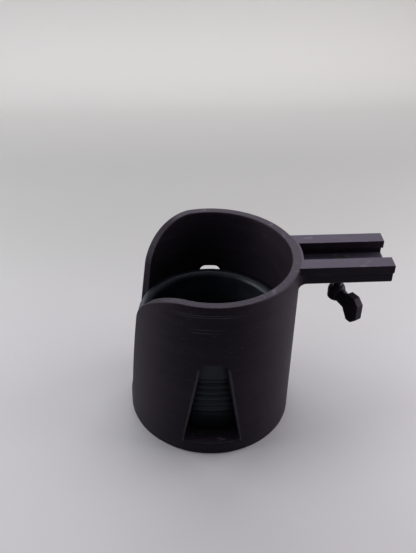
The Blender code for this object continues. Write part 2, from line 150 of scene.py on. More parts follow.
def finished(made, body, slot, *nodes):
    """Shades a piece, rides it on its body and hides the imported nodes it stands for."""
    made.data.shade_smooth()
    made.data.set_sharp_from_angle(angle=SHARP_ANGLE)
    shading = made.modifiers.new("wide_faces_lead", "WEIGHTED_NORMAL")
    shading.mode, shading.weight, shading.keep_sharp = "FACE_AREA", 60, True
    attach(made, body)
    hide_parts(*nodes)
    print(made.name, len(made.data.vertices), "points", len(made.data.polygons), "faces")
    return made

# %% [markdown]
# ## The sleeve's wall, unrolled
# The wall is a sheet of card bent into a tube: on the flat card a point is a distance round the
# sleeve and a height. The rim is then one line across the card that dips to make the mug-handle
# slot, and each window is a closed line. All three are drawn on the card as arrays. The card's
# columns pass through the points of those lines, so the cut edges are exact and smooth.

# %% Lines on the card
WALL = 5.0
FLOOR_TOP = 8.0
EDGE = 0.75
SLOT_TURN = math.radians(-186.0)
WINDOW_TURNS = (math.radians(-93.0), math.radians(87.0))
SLOT_RADIUS = 14.5
SLOT_LEAN = math.radians(11.5)
SLOT_SILL = 1.0
SHOULDER_DROP = 26.0
SHOULDER_END = 61.0
WINDOW_FOOT = 17.0
WINDOW_TOP = 68.5
WINDOW_LEAN = math.radians(8.8)
WINDOW_CORNER = 4.0
FOOT_CORNER = 1.0
HALF_ROUND = math.pi * SLEEVE_RADIUS


def arc(centre, radius, start, end, steps):
    """Points on a circle between two angles in degrees, and the unit directions out to them."""
    turns = np.radians(np.linspace(start, end, steps + 1))
    directions = np.stack([np.cos(turns), np.sin(turns)], axis=-1)
    return np.array(centre) + radius * directions, directions


def left_of(line):
    """Unit directions to the left of a line's own direction at each of its points."""
    along = np.gradient(line, axis=0)
    along /= np.linalg.norm(along, axis=1)[:, None]
    return np.stack([-along[:, 1], along[:, 0]], axis=-1)


def rim_line():
    """The rim from the middle of the slot to half way round: an arc for the slot's foot, a
    straight leaning side, a conic shoulder, and then level. Directions point out of the wall."""
    lean = math.degrees(SLOT_LEAN)
    foot, foot_out = arc((0.0, FLOOR_TOP + SLOT_SILL + SLOT_RADIUS), SLOT_RADIUS, -90.0, -lean, 18)
    bend = SLEEVE_HEIGHT - SHOULDER_DROP
    side_end = (foot[-1, 0] + (bend - foot[-1, 1]) * math.tan(SLOT_LEAN), bend)
    side = foot[-1] + np.linspace(0.0, 1.0, 21)[1:, None] * (np.array(side_end) - foot[-1])
    corner = (foot[-1, 0] + (SLEEVE_HEIGHT - foot[-1, 1]) * math.tan(SLOT_LEAN), SLEEVE_HEIGHT)
    shoulder = curve(side_end, corner, (SHOULDER_END, SLEEVE_HEIGHT), 30)[1:]
    line = np.concatenate([foot, side, shoulder])
    out = left_of(line)
    out[: len(foot)] = -foot_out
    out[-1] = (0.0, 1.0)
    return line, out


def window_arch():
    """A window's outline above its sill, right to left: the foot's small corner, a leaning side,
    two round top corners and the other side. Directions point into the opening."""
    lean = math.degrees(WINDOW_LEAN)
    rise = math.tan(WINDOW_LEAN)
    inset = math.tan((math.pi / 2 + WINDOW_LEAN) / 2)
    foot_inset = FOOT_CORNER * math.tan((math.pi / 2 - WINDOW_LEAN) / 2 + WINDOW_LEAN)
    head = WINDOW_FOOT - (WINDOW_TOP - FLOOR_TOP) * rise
    foot_centre = (WINDOW_FOOT - foot_inset, FLOOR_TOP + FOOT_CORNER)
    head_centre = (head - WINDOW_CORNER * inset, WINDOW_TOP - WINDOW_CORNER)
    foot, foot_out = arc(foot_centre, FOOT_CORNER, 0.0, lean, 1)
    top, top_out = arc(head_centre, WINDOW_CORNER, lean, 90.0, 12)
    side = foot[-1] + np.linspace(0.0, 1.0, 23)[1:-1, None] * (top[0] - foot[-1])
    side_out = np.tile(top_out[0], (len(side), 1))
    level = np.stack([np.linspace(head_centre[0], 0.0, 5)[1:], np.full(4, WINDOW_TOP)], axis=-1)
    level_out = np.tile((0.0, 1.0), (len(level), 1))
    half = np.concatenate([foot, side, top, level])
    half_out = np.concatenate([foot_out, side_out, top_out, level_out])
    line = np.concatenate([half, half[-2::-1] * (-1, 1)])
    return line, -np.concatenate([half_out, half_out[-2::-1] * (-1, 1)]), foot_centre


half_rim, half_rim_out = rim_line()
rim = np.concatenate(
    [[(-HALF_ROUND, SLEEVE_HEIGHT)], half_rim[:0:-1] * (-1, 1), half_rim, [(HALF_ROUND, SLEEVE_HEIGHT)]]
)
rim_out = np.concatenate([[(0, 1)], half_rim_out[:0:-1] * (-1, 1), half_rim_out, [(0, 1)]])
arch, arch_out, foot_centre = window_arch()
print("points on the rim line:", len(rim), "and on a window's arch:", len(arch))

# %% [markdown]
# ## The wall
# The outer sheet stops a little short of each cut line. From there a strip rolls over the edge: a
# quarter round, the flat cut face that points at the sleeve's axis, and a quarter round on to the
# inner sheet. Printers leave small level ridges where a layer shifts, and this print has four near
# its rim, so the rows are close together there and those points stand out by up to a tenth of a
# millimetre.

# %% Columns and rows of the wall
BASE_CHAMFER = 0.6
# Each ridge: its drop below the rim, the middle and half width of its stretch in degrees round the
# sleeve, and how far it stands out.
RIDGES = (
    (4.3, -100.0, 23.0, 0.10),
    (5.6, -97.0, 30.0, 0.07),
    (13.6, -98.0, 15.0, 0.08),
    (15.7, -100.0, 13.0, 0.06),
)
RIDGE_HALF = 0.16
ROUND_STEPS = 6
COLUMN_COUNT = 180
CLEAR_OF_CUTS = 0.8

rim_short = rim - EDGE * rim_out
arch_short = arch - EDGE * arch_out
window_reach = arch_short[0, 0]
window_middles = [
    ((turn - SLOT_TURN + math.pi) % (2 * math.pi) - math.pi) * SLEEVE_RADIUS for turn in WINDOW_TURNS
]
level_columns = np.linspace(-HALF_ROUND, HALF_ROUND, COLUMN_COUNT + 1)[:-1]
taken = np.concatenate([rim_short[1:-1, 0]] + [middle + arch_short[:, 0] for middle in window_middles])
apart = np.abs(level_columns[:, None] - taken[None, :]).min(axis=1)
columns = np.unique(np.round(np.concatenate([level_columns[apart > CLEAR_OF_CUTS], taken]), 6))
columns = columns[np.concatenate([[True], np.diff(columns) > 0.01])]
print("columns in the wall:", len(columns))


def on_line(line, values, at):
    """Values along a line, read at distances round the sleeve."""
    return np.stack([np.interp(at, line[:, 0], values[:, part]) for part in (0, 1)], axis=-1)


rim_height = np.interp(columns, rim_short[:, 0], rim_short[:, 1])
rim_lean = on_line(rim_short, rim_out, columns)
rim_lean /= np.linalg.norm(rim_lean, axis=1)[:, None]

foot_height = np.minimum(foot_centre[1], 0.5 * rim_height)
head_height = foot_height.copy()
foot_lean = np.tile((0.0, 1.0), (len(columns), 1))
head_lean = np.tile((0.0, -1.0), (len(columns), 1))
windows = []
for middle in window_middles:
    offset = columns - middle
    inside = np.abs(offset) < window_reach + 0.005
    windows.append(inside)
    by_distance = np.argsort(arch_short[:, 0])
    ordered = arch_short[by_distance]
    head_height[inside] = np.interp(offset[inside], ordered[:, 0], ordered[:, 1])
    head_lean[inside] = on_line(ordered, arch_out[by_distance], offset[inside])
    reach = FOOT_CORNER + EDGE
    past = np.clip(np.abs(offset[inside]) - foot_centre[0], 0.0, reach)
    past[past > reach - 0.002] = reach
    drop = np.sqrt(reach**2 - past**2)
    foot_height[inside] = foot_centre[1] - drop
    foot_lean[inside] = np.stack([-np.sign(offset[inside]) * past / reach, drop / reach], axis=-1)

# Rows keep these drops below the rim where there is full room under it, and squeeze together where
# the rim dips or a window's head is near.
FULL_ROOM = 36.0
LEVEL_DROPS = [0.0, 1.2, 2.8, 8.0, 11.0, 18.0, 24.0, 30.0]
ridge_rows = [ridge[0] + side for ridge in RIDGES for side in (-RIDGE_HALF, 0.0, RIDGE_HALF)]
drops = np.array(sorted(LEVEL_DROPS + ridge_rows))
room = np.clip((rim_height - head_height) / FULL_ROOM, None, 1.0)
near_rim = rim_height - drops[:, None] * room
shares = np.linspace(0.0, 1.0, 7)[1:, None]
upper = np.concatenate([near_rim, near_rim[-1] + shares * (head_height - near_rim[-1])])
lower = foot_height + np.linspace(0.0, 1.0, 5)[:, None] * (BASE_CHAMFER - foot_height)
wall_turns = SLOT_TURN + columns / SLEEVE_RADIUS
print("rows above and below:", len(upper), len(lower))


def ridges_at(heights, turns):
    """How far the layer ridges stand out: a peak at each height below the rim that fades sideways."""
    below = SLEEVE_HEIGHT - EDGE - heights
    out = np.zeros_like(heights)
    for drop, middle, half, amount in RIDGES:
        aside = (np.degrees(turns) - middle + 180.0) % 360.0 - 180.0
        peak = np.exp(-((below - drop) / RIDGE_HALF * 2) ** 2)
        out += amount * peak * np.clip(1.3 * (1 - (aside / half) ** 2), 0, 1)
    return out


def strip(at, lean, radius_out, radius_in):
    """The rolled edge along one cut line: a quarter circle, a flat face and a quarter circle, going
    from the outer sheet at radius_out to the inner one at radius_in, leaning out by up to EDGE."""
    turn = np.linspace(0, math.pi / 2, ROUND_STEPS + 1)
    away = np.concatenate([np.sin(turn), np.cos(turn)])
    radius = np.concatenate([radius_out - EDGE * (1 - np.cos(turn)), radius_in + EDGE * (1 - np.sin(turn))])
    place = at[None, :, :] + EDGE * away[:, None, None] * lean[None, :, :]
    return around(radius[:, None], place[..., 1], SLOT_TURN + place[..., 0] / SLEEVE_RADIUS)


# %% Build the wall
BORE_RADIUS = SLEEVE_RADIUS - WALL
body = Shell("sleeve_and_arm")
upper_out = around(SLEEVE_RADIUS + ridges_at(upper, wall_turns), upper, wall_turns)
body.grid(upper_out)
body.grid(around(SLEEVE_RADIUS, lower, wall_turns))
body.grid(around(BORE_RADIUS, upper, wall_turns)).grid(around(BORE_RADIUS, lower, wall_turns))
rim_top = np.stack([columns, rim_height], axis=-1)
body.grid(strip(rim_top, rim_lean, SLEEVE_RADIUS, BORE_RADIUS))
for inside in windows:
    for height, lean in ((foot_height, foot_lean), (head_height, head_lean)):
        line = np.stack([columns, height], axis=-1)
        body.grid(strip(line[inside], lean[inside], SLEEVE_RADIUS, BORE_RADIUS), ring=False)
under_radius = np.array([SLEEVE_RADIUS, SLEEVE_RADIUS - BASE_CHAMFER, BORE_RADIUS, BORE_RADIUS])[:, None]
under_height = np.array([BASE_CHAMFER, 0.0, 0.0, BASE_CHAMFER])[:, None]
body.grid(around(under_radius, under_height, wall_turns[None, :]))
print("points in the wall:", body.count)

# %% [markdown]
# ## Straight pieces with rounded edges
# The arm, its fillets and the lever's wing are outlines carried along a line. An outline starts as
# a few corners, each rolled over by a small arc. As it is carried, it shrinks along its own
# directions near both ends, so the end edges are round too, as a printer's nozzle leaves them.

# %% Outlines and how they are carried
def rolled(corners, radius, steps=4):
    """An anticlockwise outline with each corner rolled. Each corner's arc is tangent to both its
    sides: its centre is r / cos(turn/2) from the corner, and it sweeps the corner's own turn."""
    corners = np.asarray(corners, float)
    radius = np.broadcast_to(radius, len(corners))[:, None]
    before = corners - np.roll(corners, 1, axis=0)
    before /= np.linalg.norm(before, axis=1)[:, None]
    after = np.roll(before, -1, axis=0)
    cross = before[:, 0] * after[:, 1] - before[:, 1] * after[:, 0]
    turn = np.arctan2(cross, (before * after).sum(axis=1))[:, None]
    first = np.arctan2(-before[:, 0], before[:, 1])[:, None]
    side = np.sign(turn)
    outward = np.stack([before[:, 1], -before[:, 0]], axis=-1)
    centre = corners - before * radius * np.tan(np.abs(turn) / 2) - outward * radius * side
    swept = first + turn * np.linspace(0, 1, steps + 1)[None, :]
    directions = np.stack([np.cos(swept), np.sin(swept)], axis=-1)
    points = centre[:, None, :] + (side * radius)[:, :, None] * directions
    return points.reshape(-1, 2), directions.reshape(-1, 2)


def carried(outline, directions, start, end, roll, steps=4):
    """Rings of (u, v, w) points: the outline at each w, pulled in by roll (1 - cos) near both ends."""
    turn = np.linspace(math.pi / 2, 0, steps + 1)
    pull = roll * (1 - np.cos(turn))
    from_end = roll * (1 - np.sin(turn))
    place = np.concatenate([start + from_end, end - from_end[::-1]])
    pull = np.concatenate([pull, pull[::-1]])
    flat = outline[None, :, :] - pull[:, None, None] * directions[None, :, :]
    return np.concatenate([flat, np.broadcast_to(place[:, None, None], (*flat.shape[:2], 1))], axis=-1)


def along_x(rings):
    """(u, v, w) as (y, z, x)."""
    return rings[..., [2, 0, 1]]


# %% The arm: two rails over a plate, and the block that closes its slot
STEP = 0.02
ARM_TOP = SLEEVE_HEIGHT - STEP
SLOT_HALF = 7.7
CAVITY_HALF = 11.0
STEM_HALF = 14.6
ARM_HALF = 16.4
LIP_UNDER = 102.6
LIP_CHAMFER = 1.8
LIP_LEVEL = 1.5
PLATE_TOP = 97.6
PLATE_UNDER = 94.9
FOOT_CHAMFER = 1.0
CORNER_ROLL = 0.35
END_ROLL = 0.4
IN_WALL = SLEEVE_RADIUS - 0.75 * WALL
SLOT_END = SLEEVE_RADIUS + 1.3
SLOT_END_POINTS = 33
SUNK = 0.5
SCREW_X = 71.5
SCREW_AXIS = (SCREW_X, 0.0)

half_section = [
    (STEM_HALF - FOOT_CHAMFER, PLATE_UNDER),
    (STEM_HALF, PLATE_UNDER + FOOT_CHAMFER),
    (STEM_HALF, LIP_UNDER - LIP_CHAMFER),
    (ARM_HALF, LIP_UNDER),
    (ARM_HALF, ARM_TOP),
    (SLOT_HALF, ARM_TOP),
    (SLOT_HALF, LIP_UNDER),
    (SLOT_HALF + LIP_LEVEL, LIP_UNDER),
    (CAVITY_HALF, LIP_UNDER - LIP_CHAMFER),
    (CAVITY_HALF, PLATE_TOP),
]
section = half_section + [(-y, z) for y, z in reversed(half_section)]
arm = Shell("arm").tube(along_x(carried(*rolled(section, CORNER_ROLL), IN_WALL, ARM_END, END_ROLL)))

across = np.linspace(-CAVITY_HALF - SUNK, CAVITY_HALF + SUNK, SLOT_END_POINTS)
front = np.sqrt(SLOT_END**2 - across**2)
behind = np.full(SLOT_END_POINTS, IN_WALL)
block_top = ARM_TOP - STEP
block_rows = [
    (behind, PLATE_TOP - SUNK),
    (front, PLATE_TOP - SUNK),
    (front, block_top - CORNER_ROLL),
    (front - 0.3 * CORNER_ROLL, block_top - 0.3 * CORNER_ROLL),
    (front - CORNER_ROLL, block_top),
    (behind, block_top),
]
block_points = np.stack(
    [np.stack([x, across, np.full(SLOT_END_POINTS, z)], axis=-1) for x, z in block_rows]
)
block = Shell("slot_end").grid(block_points, ring=False, loop=True)
block.cap(block_points[:, 0]).cap(block_points[:, -1])
print("arm", arm.count, "slot end", block.count)


# %% The fillets between arm and sleeve, the floor and the nut's boss
ROOT_FILLET = 5.0
UNDER_FILLET = 4.0
BOSS_RADIUS = 6.62
BOSS_UNDER = 89.9
HOLE_RADIUS = 2.8
POCKET_FLOOR = 93.3
POCKET_RADIUS = 4.97
SEAT_RADIUS = 36.3
SEAT_FLOOR = 6.5
SEAT_CHAMFER = 0.4
HOLE_CHAMFER = 0.3
BOSS_ROUND = 0.5
INTO_PLATE = 1.0


def root_fillet(side):
    """The upright fillet on one side of the arm: a hollow quarter round carried upwards."""
    centre_y = STEM_HALF + ROOT_FILLET
    centre = (math.sqrt((SLEEVE_RADIUS + ROOT_FILLET) ** 2 - centre_y**2), centre_y)
    start = math.degrees(math.atan2(-centre[1], -centre[0]))
    hollow, out = arc(centre, ROOT_FILLET, start, -90.0, 14)
    sunk_y = STEM_HALF - 1.8
    inside = [(centre[0], sunk_y), (IN_WALL + 1.0, sunk_y), hollow[0] - (2.5, 1.25)]
    outline = np.concatenate([hollow, inside]) * (1, side)
    directions = np.concatenate([-out, [(0, -1), (-1, 0), (-1, 0)]]) * (1, side)
    low, high = PLATE_UNDER + FOOT_CHAMFER, SLEEVE_HEIGHT - EDGE
    return Shell("root_fillet").tube(carried(outline, directions, low, high, 0.2, 2))


fillet_end = SLEEVE_RADIUS + UNDER_FILLET
fillet_top = PLATE_UNDER + 1.2
hollow, _ = arc((fillet_end, PLATE_UNDER - UNDER_FILLET), UNDER_FILLET, 90.0, 180.0, 12)
ring = np.concatenate(
    [[(IN_WALL, fillet_top), (fillet_end, fillet_top)], hollow, [(IN_WALL, hollow[-1, 1])]]
)
across = np.linspace(-(STEM_HALF - FOOT_CHAMFER), STEM_HALF - FOOT_CHAMFER, 25)
fillet_x = np.sqrt(ring[:, 0][:, None] ** 2 - across[None, :] ** 2)
fillet_points = np.stack(np.broadcast_arrays(fillet_x, across[None, :], ring[:, 1][:, None]), axis=-1)
under = Shell("under_fillet").grid(fillet_points, ring=False, loop=True)
under.cap(fillet_points[:, 0]).cap(fillet_points[:, -1])

floor_edge = BORE_RADIUS + 1.2
floor_profile = [
    (0, STEP),
    (floor_edge, STEP),
    (floor_edge, FLOOR_TOP - STEP),
    (SEAT_RADIUS + SEAT_CHAMFER, FLOOR_TOP - STEP),
    (SEAT_RADIUS, FLOOR_TOP - SEAT_CHAMFER),
    (SEAT_RADIUS, SEAT_FLOOR),
    (0, SEAT_FLOOR),
]
floor = turned(Shell("floor"), floor_profile, 144)
boss_profile = [
    (HOLE_RADIUS, BOSS_UNDER + HOLE_CHAMFER),
    (HOLE_RADIUS + HOLE_CHAMFER, BOSS_UNDER),
    (BOSS_RADIUS - BOSS_ROUND, BOSS_UNDER),
    (BOSS_RADIUS - 0.3 * BOSS_ROUND, BOSS_UNDER + 0.3 * BOSS_ROUND),
    (BOSS_RADIUS, BOSS_UNDER + BOSS_ROUND),
    (BOSS_RADIUS, PLATE_UNDER + INTO_PLATE),
    (POCKET_RADIUS, PLATE_UNDER + INTO_PLATE),
    (POCKET_RADIUS, POCKET_FLOOR),
    (HOLE_RADIUS, POCKET_FLOOR),
]
boss = turned(Shell("nut_boss"), boss_profile, 72, SCREW_AXIS)


# %% [markdown]
# ## One print from several solids
# A slicer fuses overlapping solids into one print, and Blender's Boolean does the same here: each
# solid is added to the sleeve, then the nut's pocket is cut. The small solids and the cutters are
# removed once the result is in the mesh.

# %% Fuse the print
def fused(made, added, cuts=()):
    """Adds solids to an object and cuts others from it, with the result put in its mesh."""
    steps = [(solid.build(), "UNION") for solid in added]
    steps += [(solid.build(), "DIFFERENCE") for solid in cuts]
    for other, operation in steps:
        change = made.modifiers.new(other.name, "BOOLEAN")
        change.operation, change.solver, change.object = operation, "EXACT", other
    bpy.context.view_layer.update()
    result = bpy.data.meshes.new_from_object(made.evaluated_get(bpy.context.evaluated_depsgraph_get()))
    made.modifiers.clear()
    made.data = result
    for other, _ in steps:
        bpy.data.objects.remove(other)
    return made


hexagon = np.arange(6) * math.pi / 3
pocket_ends = np.array([POCKET_FLOOR, PLATE_TOP + 1.0])[:, None]
pocket = Shell("pocket").tube(around(POCKET_RADIUS, pocket_ends, hexagon[None, :], SCREW_AXIS))
solids = [floor, arm, block, root_fillet(-1), root_fillet(1), under, boss]
print_body = fused(body.build(), solids, [pocket])
finished(print_body, "holder", "filament", "holder_body")

# %% [markdown]
# ## Screw, nut and pad
# A real thread is a ridge that climbs one pitch for each turn. On a grid of turns and heights, the
# place within one thread is height / pitch - turn / full turn, and the radius drops from crest to
# root with it. The ends are cut by a cone, which is the smaller of two radii. The nut holds a
# shallower thread of the same pitch on its inside, and its corners are cut by cones where a lathe
# has faced them.

# %% Threads
PITCH = 0.8
SCREW_RADIUS = 2.5
THREAD_DEPTH = 0.49
screw_low, screw_high = (np.array(corner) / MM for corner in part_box("clamp_screw"))
nut_low, nut_high = (np.array(corner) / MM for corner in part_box("captive_nut"))
pad_low, pad_high = (np.array(corner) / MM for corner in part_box("pressure_pad"))
TIP_LENGTH = 1.2
TIP_RADIUS = 1.5
TIP_CHAMFER = 0.3
CONE_RADIUS = 1.95
CONE_LENGTH = 0.6
SHOULDER_RISE = 0.02


def thread_depth(turns, heights, depth):
    """How far below the crest a 60 degree thread lies: flat for 1/8 pitch at the crest and 1/4 at
    the root, with straight flanks between them."""
    place = (heights / PITCH - turns / (2 * math.pi)) % 1.0
    return depth * np.clip((np.abs(2 * place - 1) - 1 / 8) / (5 / 8), 0, 1)


thread_top = screw_high[2] - TIP_LENGTH
cone_profile = [
    (screw_low[2], CONE_RADIUS),
    (screw_low[2] + CONE_LENGTH, SCREW_RADIUS),
    (thread_top - CONE_LENGTH, SCREW_RADIUS),
    (thread_top, CONE_RADIUS),
    (thread_top + SHOULDER_RISE, TIP_RADIUS),
    (screw_high[2] - TIP_CHAMFER, TIP_RADIUS),
    (screw_high[2], TIP_RADIUS - TIP_CHAMFER),
]
cone_heights, cone_radii = zip(*cone_profile)
thread_rows = np.arange(screw_low[2], thread_top - 0.01, PITCH / 10)
heights = np.concatenate([thread_rows, cone_heights[3:]])
cone = np.interp(heights, cone_heights, cone_radii)[:, None]
turns = full_circle(48)[None, :]
radius = np.minimum(SCREW_RADIUS - thread_depth(turns, heights[:, None], THREAD_DEPTH), cone)
screw = Shell("threaded_screw").tube(around(radius, heights[:, None], turns, SCREW_AXIS)).build()
finished(screw, "lever", "screw_steel", "clamp_screw")

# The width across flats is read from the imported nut's box along y, which is its width across
# corners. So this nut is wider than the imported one, and its sides are sunk in the pocket's walls.
NUT_FLATS = nut_high[1] * 2
NUT_HEIGHT = 4.0
FACING_CUT = 0.1
CONE_SLOPE = 1.732
NUT_ROOT = 2.82
NUT_THREAD_DEPTH = 0.24
BORE_CHAMFER = 0.4
turns = full_circle(120)[None, :]
hexagon_radius = NUT_FLATS / 2 / np.cos(turns % (math.pi / 3) - math.pi / 6)
end_rows = [0.0, 0.25, 0.5]
rows = np.array([*end_rows, NUT_HEIGHT / 2, *(NUT_HEIGHT - row for row in reversed(end_rows))])[:, None]
from_face = np.minimum(rows, nut_high[2] - nut_low[2] - rows)
outer = np.minimum(hexagon_radius, NUT_FLATS / 2 - FACING_CUT + CONE_SLOPE * from_face)
bore_rows = np.linspace(NUT_HEIGHT, 0.0, 51)[:, None]
widened = np.clip(BORE_CHAMFER - np.minimum(bore_rows, NUT_HEIGHT - bore_rows), 0, None)
bore = NUT_ROOT - thread_depth(turns, bore_rows, NUT_THREAD_DEPTH) + widened
outer_rings = around(outer, nut_low[2] + rows, turns, SCREW_AXIS)
bore_rings = around(bore, nut_low[2] + bore_rows, turns, SCREW_AXIS)
nut_rings = np.concatenate([outer_rings, bore_rings])
nut = Shell("threaded_nut").grid(nut_rings, loop=True).build()
finished(nut, "holder", "screw_steel", "captive_nut")

PAD_CLEARANCE = 0.4
PAD_ROUND = 0.5
PAD_CHAMFER = 0.25
GROOVE_AT = 3.2
GROOVE_RADIUS = 0.28
pad_radius = pad_high[1]
socket = TIP_RADIUS + PAD_CLEARANCE
depth = TIP_LENGTH + PAD_CLEARANCE
dimple = [(0.0, pad_high[2] - PAD_CHAMFER), (0.5, pad_high[2] - PAD_CHAMFER), (0.8, pad_high[2])]
groove, _ = arc((GROOVE_AT, pad_high[2]), GROOVE_RADIUS, 180.0, 360.0, 8)
pad_edge, _ = arc((pad_radius - PAD_ROUND, pad_high[2] - PAD_ROUND), PAD_ROUND, 90.0, 0.0, 6)
pad_under = [
    (pad_radius, pad_low[2] + PAD_CHAMFER),
    (pad_radius - PAD_CHAMFER, pad_low[2]),
    (socket + PAD_CHAMFER, pad_low[2]),
    (socket, pad_low[2] + PAD_CHAMFER),
    (socket, pad_low[2] + depth),
    (0.0, pad_low[2] + depth),
]
pad_profile = np.concatenate([dimple, groove, pad_edge, pad_under])
pad = turned(Shell("moulded_pad"), pad_profile, 72, SCREW_AXIS).build()
finished(pad, "pad", "nylon", "pressure_pad")

# %% [markdown]
# ## The thumb lever
# The lever is printed too: a round hub on the screw, an oval bar that runs out from it, and an
# upright wing for the thumb. The bar is a superellipse carried outwards while its width and depth
# change smoothly from the hub's to the wing's and it falls away from the hub. The three solids are
# fused like the body.

# %% Build the lever
LEVER_AIM = math.radians(30.0)
lever_low, lever_high = (np.array(corner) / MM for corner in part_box("thumb_lever"))
print("the packed lever's box in mm:", lever_low, lever_high)
HUB_RADIUS = 5.0
HUB_NECK = 2.86
HUB_SHOULDER = 3.6
HUB_ROUND = 1.1
HUB_TOP = 83.9
HUB_UNDER = 75.1
HUB_HOLE_FLOOR = 77.8
WING_START, WING_REACH = 8.5, 19.3
WING_LOW, WING_HIGH = 67.3, 83.9
WING_THICKNESS = 5.2
WING_CUT, WING_HUB_CUT = 3.6, 1.8
WING_ROLLS = (2.2, 1.5, 1.5, 1.5, 1.5, 1.5, 0.9, 0.9)
WING_EDGE = 0.8
BAR_MIDDLE = 79.4
BAR_SLOPE = math.tan(math.radians(17.0))
BAR_START, BAR_LENGTH = 1.0, 12.4
BAR_WIDTHS = (7.4, WING_THICKNESS - 0.4)
BAR_DEPTHS = (8.6, 9.6)
BAR_POWER = 0.9
outward = np.array([math.sin(LEVER_AIM), -math.cos(LEVER_AIM), 0.0])
sideways = np.array([math.cos(LEVER_AIM), math.sin(LEVER_AIM), 0.0])
upward = np.array([0.0, 0.0, 1.0])


def on_lever(points):
    """(outward, up, sideways) distances from the screw's axis as points in the model's frame."""
    return np.array([SCREW_X, 0.0, 0.0]) + points @ np.stack([outward, upward, sideways])


hub_side = (HUB_RADIUS, HUB_TOP - HUB_SHOULDER)
hub_shoulder = curve((HUB_NECK, HUB_TOP), (HUB_RADIUS, HUB_TOP), hub_side, 10)
hub_foot, _ = arc((HUB_RADIUS - HUB_ROUND, HUB_UNDER + HUB_ROUND), HUB_ROUND, 0.0, -90.0, 6)
hub_profile = np.concatenate([hub_shoulder, hub_foot, [(0.0, HUB_UNDER)]])
hub = turned(Shell("printed_lever"), [(0.0, HUB_TOP), *hub_profile], 96, SCREW_AXIS)

steps = np.linspace(0.0, 1.0, 25)[:, None]
ease = steps * steps * (3 - 2 * steps)
bar_turns = full_circle(40)[None, :]
cosine, sine = np.cos(bar_turns), np.sin(bar_turns)
half_width, half_depth = (
    (at_hub + (at_wing - at_hub) * ease) / 2 for at_hub, at_wing in (BAR_WIDTHS, BAR_DEPTHS)
)
run_out = steps * BAR_LENGTH + BAR_START
bar_points = np.stack(
    np.broadcast_arrays(
        run_out,
        BAR_MIDDLE - BAR_SLOPE * run_out + half_depth * np.sign(sine) * np.abs(sine) ** BAR_POWER,
        half_width * np.sign(cosine) * np.abs(cosine) ** BAR_POWER,
    ),
    axis=-1,
)
bar = Shell("bar").tube(on_lever(bar_points))

wing_corners = [
    (WING_START, WING_LOW + 5.8),
    (WING_START + WING_CUT, WING_LOW),
    (WING_REACH - WING_CUT, WING_LOW),
    (WING_REACH, WING_LOW + WING_CUT),
    (WING_REACH, WING_HIGH - WING_CUT),
    (WING_REACH - WING_CUT, WING_HIGH),
    (WING_START + WING_HUB_CUT, WING_HIGH),
    (WING_START, WING_HIGH - WING_HUB_CUT),
]
wing_outline = rolled(wing_corners, WING_ROLLS, 5)
wing_rings = carried(*wing_outline, -WING_THICKNESS / 2, WING_THICKNESS / 2, WING_EDGE)
wing = Shell("wing").tube(on_lever(wing_rings))
hole_ends = np.array([HUB_HOLE_FLOOR, HUB_TOP + 1.0])[:, None]
hole = Shell("hole").tube(around(HOLE_RADIUS, hole_ends, full_circle(48)[None, :], SCREW_AXIS))
lever = fused(hub.build(), [bar, wing], [hole])
finished(lever, "lever", "filament", "thumb_lever")

# %% [markdown]
# ## The ribbed liner
# The liner is a soft cup turned round the sleeve's axis. Its outside widens upwards, and below a
# smooth collar it carries level ribs. A rib is a cosine hump raised to a small power, so it is
# full and round with a narrow groove on each side. The lip flares out to just short of the bore.

# %% Build the liner
liner_low, liner_high = (np.array(corner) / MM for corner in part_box("cup_liner"))
LINER_WALL = 2.2
LINER_TAPER = 0.0692
LINER_LIP = BORE_RADIUS - 0.6
FLARE = 3.0
RIB_COUNT = 6
RIB_PITCH = 4.8
TOP_RIB = 47.2
RIB_DEPTH = 1.2
FOOT_ROUND = 1.1
INNER_ROUND = 2.0
liner_top, liner_under = liner_high[2], liner_low[2]


def liner_outside(height):
    """The outside without its ribs: it widens in a straight line with height."""
    return BORE_RADIUS - 3.4 - LINER_TAPER * (liner_top - height)


def rib_groove(height):
    """How far the outside is cut in: nothing on the collar and foot, and a cosine between ribs."""
    place = (TOP_RIB - height) / RIB_PITCH
    hump = (0.5 + 0.5 * np.cos(2 * math.pi * place)) ** 0.55
    within = np.clip((place + 0.5) * 12, 0, 1) * np.clip((RIB_COUNT - 0.5 - place) * 12, 0, 1)
    return RIB_DEPTH * (1 - hump) * within


flare_foot = liner_top - LINER_WALL - FLARE
collar = (liner_outside(flare_foot), flare_foot)
lip_edge, _ = arc((LINER_LIP - LINER_WALL / 2, liner_top - LINER_WALL / 2), LINER_WALL / 2, 90.0, -90.0, 12)
flare = curve(lip_edge[-1], (collar[0] + 0.1, lip_edge[-1, 1]), collar, 10)[1:]
rib_heights = np.linspace(flare_foot, liner_under + 1.4, 170)[1:]
ribs = np.stack([liner_outside(rib_heights) - rib_groove(rib_heights), rib_heights], axis=-1)
foot_radius = liner_outside(liner_under)
foot_edge, _ = arc((foot_radius - FOOT_ROUND, liner_under + FOOT_ROUND), FOOT_ROUND, 0.0, -90.0, 6)
floor_top = liner_under + LINER_WALL
inner_centre = (foot_radius - LINER_WALL - INNER_ROUND, floor_top + INNER_ROUND)
inner_foot, _ = arc(inner_centre, INNER_ROUND, -90.0, 0.0, 8)
throat = (liner_outside(liner_top - FLARE) - LINER_WALL, liner_top - FLARE)
inner_wall = inner_foot[-1] + np.linspace(0, 1, 10)[1:, None] * (np.array(throat) - inner_foot[-1])
mouth = curve(throat, (throat[0] + 0.2, liner_top), (throat[0] + FLARE, liner_top), 10)[1:]
liner_inside = [[(0.0, floor_top)], inner_foot, inner_wall, mouth]
liner_skin = [lip_edge, flare, ribs, foot_edge, [(0.0, liner_under)]]
liner_profile = np.concatenate(liner_inside + liner_skin)
liner = turned(Shell("ribbed_liner"), liner_profile, 168).build()
finished(liner, "holder", "soft_rubber", "cup_liner")

